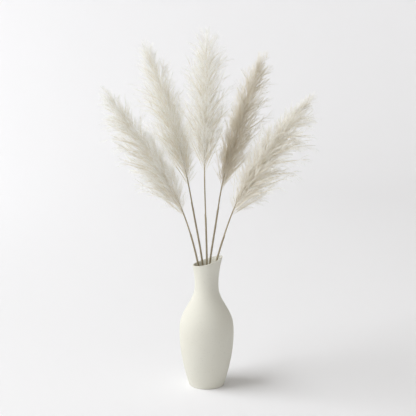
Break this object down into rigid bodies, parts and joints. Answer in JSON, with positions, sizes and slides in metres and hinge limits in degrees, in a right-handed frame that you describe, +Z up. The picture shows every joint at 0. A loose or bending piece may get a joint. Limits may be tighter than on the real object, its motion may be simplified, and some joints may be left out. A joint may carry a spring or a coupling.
{
  "type": "bundle of pampas grass in a vase",
  "caption": "Dried pampas grass: long feathery cream plumes on thin straw stems, fanned out of a matte off-white bottle vase with a slanted flared lip.",
  "frame": {"origin": "centre of the vase's flat base, which is the mount base", "axes": "+Z up along the vase's axis, +X towards the high side of the slanted lip, -Y towards the viewer"},
  "size_m": [0.4223, 0.1791, 0.75],
  "materials": {
    "vase": "matte unglazed off-white",
    "stem": "dry straw, satin",
    "plume": "soft silky plume"
  },
  "bodies": {
    "root": {"vase": "vase", "stem_1": "stem", "stem_2": "stem", "stem_3": "stem", "stem_4": "stem", "stem_5": "stem", "plume_1": "plume", "plume_2": "plume", "plume_3": "plume", "plume_4": "plume", "plume_5": "plume"}
  },
  "joints": []
}
